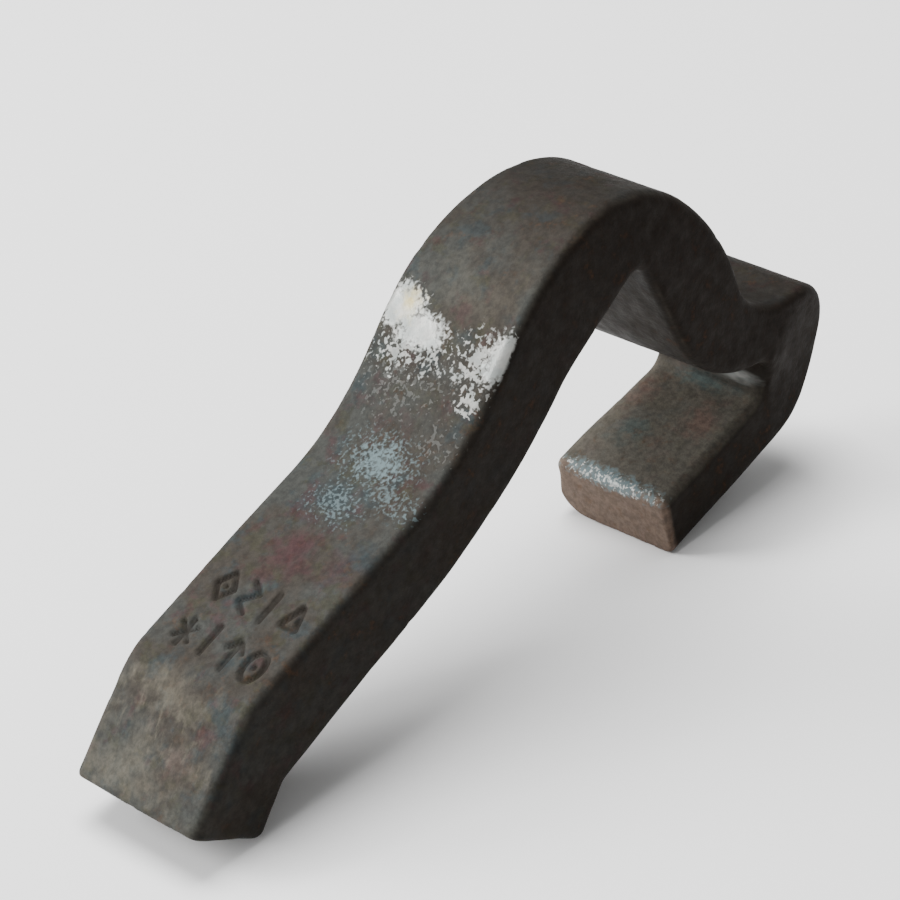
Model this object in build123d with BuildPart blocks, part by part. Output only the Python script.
from build123d import *
from math import atan2, ceil, cos, degrees, pi, radians, tan
import os

# A rail anchor: one flat bar of spring steel, hot-formed so that it clips across the foot of a rail.
# It lies here as it rests on a bench, arch up, on the lower edges of its two ends.
# X runs along the bar's length, from the tip to the hook, Y across its width, and Z up.
# Sizes are in millimetres. Angles are in degrees, counter-clockwise from the X axis as seen from -Y.

# The flat bar, and its width where the bends have drawn its outer face in
bar_width = 30.0
corner_radius = 2.2
crown_neck = 4.4
crown_neck_reach = 44.0
saddle_neck = 1.6
saddle_neck_reach = 16.0
hook_neck = 5.0
hook_neck_reach = 24.0
lip_root_width = 26.4
lip_end_width = 28.0

# The outer line, as runs from corner to corner with their angles, and the radius of each corner
tip_length = 23.7
tip_angle = 49.2
tip_radius = 17.0
arm_length = 56.3
arm_angle = 21.3
hollow_radius = 54.0
shoulder_length = 35.7
shoulder_angle = 49.2
shoulder_radius = 46.0
crown_length = 32.2
crown_angle = 16.0
crown_radius = 31.0
far_shoulder_length = 29.0
far_shoulder_angle = -44.6
far_shoulder_radius = 52.0
flank_length = 25.9
flank_angle = -68.1
saddle_radius = 15.2
saddle_length = 28.9
saddle_angle = 2.5
hook_radius = 12.1
hook_back_length = 29.1
hook_back_angle = -101.3
lip_root_radius = 22.0
lip_length = 49.6
lip_angle = -164.0

# The bar's thickness, square through its ends and slantwise through its corners
tip_thickness = 18.4
tip_through = 19.9
tip_through_angle = -71.0
hollow_through = 17.9
hollow_through_angle = -51.4
shoulder_through = 23.7
shoulder_through_angle = -75.0
crown_through = 17.6
crown_through_angle = -101.0
saddle_through = 17.5
saddle_through_angle = -151.9
hook_through = 26.8
hook_through_angle = -153.7
hook_back_through = 19.6
hook_back_through_angle = 154.7
lip_thickness = 13.4

# The radius of each corner of the inner line, which grips the rail's foot
notch_radius = 3.0
underside_radius = 120.0
knee_radius = 23.0
apex_radius = 3.4
saddle_inner_radius = 28.5
jaw_radius = 5.0

# The bar is bent with some to spare, cut to length at both ends, and its end faces get a bevel
trim = 4.0
cut_block = (50.0, 50.0, 10.0)
end_bevel = 0.9
tip_face_angle = -32.0
lip_face_angle = 102.0

# How closely the bar's cross-sections follow each other
section_step = 4.0

# Square to a run
square_angle = 90.0

# How much of a run two neighbouring fillets may take up between them
fillet_share = 0.99


def step(start, length, angle):
    """The point at a length and an angle from another point."""
    return Vector(start) + Vector(length, 0).rotate(Axis.Z, angle)


def held_radii(points, radii):
    """Corner radii, smaller where two neighbouring fillets would not fit the run between them."""
    runs = [(end - start).length for start, end in zip(points, points[1:])]
    turns = [(b - a).get_angle(c - b) for a, b, c in zip(points, points[1:], points[2:])]
    reaches = [0.0, *(r * tan(radians(turn / 2)) for r, turn in zip(radii, turns)), 0.0]
    shares = [min(1.0, fillet_share * run / (a + b)) for run, a, b in zip(runs, reaches, reaches[1:])]
    return [r * min(a, b) for r, a, b in zip(radii, shares, shares[1:])]


# The outer line's corners, from the tip's end to the lip's end
tip_end = Vector(0, 0)
tip_bend = step(tip_end, tip_length, tip_angle)
hollow = step(tip_bend, arm_length, arm_angle)
shoulder = step(hollow, shoulder_length, shoulder_angle)
crown = step(shoulder, crown_length, crown_angle)
far_shoulder = step(crown, far_shoulder_length, far_shoulder_angle)
saddle = step(far_shoulder, flank_length, flank_angle)
hook = step(saddle, saddle_length, saddle_angle)
hook_back = step(hook, hook_back_length, hook_back_angle)
lip_end = step(hook_back, lip_length, lip_angle)
spare_tip = step(tip_end, -trim, tip_angle)
spare_lip = step(lip_end, trim, lip_angle)
outer_corners = [
    spare_tip, tip_bend, hollow, shoulder, crown, far_shoulder, saddle, hook, hook_back, spare_lip
]
outer_radii = [
    tip_radius, hollow_radius, shoulder_radius, crown_radius, far_shoulder_radius,
    saddle_radius, hook_radius, lip_root_radius,
]

# The inner line's corners, each across the bar from a corner of the outer line
inner_corners = [
    step(spare_tip, tip_thickness, tip_angle - square_angle),
    step(tip_bend, tip_through, tip_through_angle),
    step(hollow, hollow_through, hollow_through_angle),
    step(shoulder, shoulder_through, shoulder_through_angle),
    step(crown, crown_through, crown_through_angle),
    step(saddle, saddle_through, saddle_through_angle),
    step(hook, hook_through, hook_through_angle),
    step(hook_back, hook_back_through, hook_back_through_angle),
    step(spare_lip, lip_thickness, lip_angle - square_angle),
]
inner_radii = [
    notch_radius, underside_radius, knee_radius, apex_radius,
    saddle_inner_radius, jaw_radius, jaw_radius,
]

with BuildLine() as outer_line:
    FilletPolyline(outer_corners, radius=held_radii(outer_corners, outer_radii))

with BuildLine() as inner_line:
    FilletPolyline(inner_corners, radius=held_radii(inner_corners, inner_radii))

# The outer line's bends, and where along it the hook and the lip begin
outer_wire = outer_line.wire()
inner_wire = inner_line.wire()
outer_runs = outer_wire.order_edges()
outer_bends = outer_runs[1::2]
crown_bend = outer_bends[outer_corners.index(crown) - 1]
saddle_bend = outer_bends[outer_corners.index(saddle) - 1]
hook_bend, lip_root_bend = outer_bends[-2:]
whole_length = outer_wire.length
lip_at = whole_length - outer_runs[-1].length
hook_at = outer_wire.param_at_point(hook_bend @ 0) * whole_length

# Where the bends draw the outer face in, by how much and how far away it begins
necks = [
    (crown_bend @ 0.5, crown_neck, crown_neck_reach),
    (saddle_bend @ 0.5, saddle_neck, saddle_neck_reach),
    (lip_root_bend @ 0, hook_neck, hook_neck_reach),
]


def ease(share):
    """A smooth rise from 0 to 1 as the share goes from 0 to 1."""
    return (1 - cos(pi * min(max(share, 0.0), 1.0))) / 2


def inner_width(travelled):
    """The width of the inner face, which narrows round the hook and flares along the lip."""
    round_hook = ease((travelled - hook_at) / (lip_at - hook_at))
    along_lip = max(travelled - lip_at, 0.0) / (whole_length - lip_at)
    taper = (lip_root_width - bar_width) * round_hook
    return bar_width + taper + (lip_end_width - lip_root_width) * along_lip


def outer_width(point, travelled):
    """The width of the outer face, which each tight bend draws in."""
    width = inner_width(travelled)
    for bend, loss, reach in necks:
        width -= loss * ease(1 - (point - bend).length / reach)
    return width


def section_plane(outer, inner):
    """The upright plane through an outer and an inner point, its own X across the bar's width."""
    across = (outer - inner).normalized()
    side = Vector(0, 1, 0)
    up = Vector(across.X, 0, across.Y)
    return Plane((inner.X, 0, inner.Y), x_dir=side, z_dir=side.cross(up))


def cut_plane(end, angle):
    """The upright plane of an end face, from its outer edge and an angle that points into the bar."""
    into_bar = step((0, 0), 1, angle)
    return Plane((end.X, 0, end.Y), x_dir=(0, 1, 0), z_dir=(into_bar.X, 0, into_bar.Y))


with BuildPart() as anchor:
    count = ceil(whole_length / section_step)
    for place in range(count + 1):
        travelled = whole_length * place / count
        outer = outer_wire.position_at(travelled, position_mode=PositionMode.LENGTH)
        inner = inner_wire.closest_points(outer)[0]
        half_out = outer_width(outer, travelled) / 2
        half_in = inner_width(travelled) / 2
        thick = (outer - inner).length
        with BuildSketch(section_plane(outer, inner)) as section:
            Polygon(
                (-half_in, 0), (half_in, 0), (half_out, thick), (-half_out, thick), align=None
            )
            fillet(section.vertices(), radius=corner_radius)
    loft()
    tip_cut = cut_plane(tip_end, tip_face_angle + square_angle)
    lip_cut = cut_plane(lip_end, lip_face_angle - square_angle)
    with Locations(tip_cut, lip_cut):
        Box(*cut_block, align=(Align.CENTER, Align.CENTER, Align.MAX), mode=Mode.SUBTRACT)
    chamfer(anchor.faces().filter_by(GeomType.PLANE).edges(), length=end_bevel)

# Turned until the lowest edge of each end is at the same level, with the origin under its middle
end_corners = anchor.vertices().sort_by(Axis.X)
ends_half = len(end_corners) // 2
tip_foot = end_corners[:ends_half].sort_by(Axis.Z)[0]
lip_foot = end_corners[ends_half:].sort_by(Axis.Z)[0]
rest_turn = degrees(atan2(lip_foot.Z - tip_foot.Z, lip_foot.X - tip_foot.X))
turned = anchor.part.rotate(Axis.Y, rest_turn)
turned_box = turned.bounding_box()
rail_anchor = turned.translate((-turned_box.center().X, 0, -turned_box.min.Z))
rail_anchor.label = "rail_anchor"
os.makedirs("parts", exist_ok=True)
export_step(rail_anchor, "parts/rail_anchor.step")
print("volume", round(rail_anchor.volume), "size", rail_anchor.bounding_box().size)
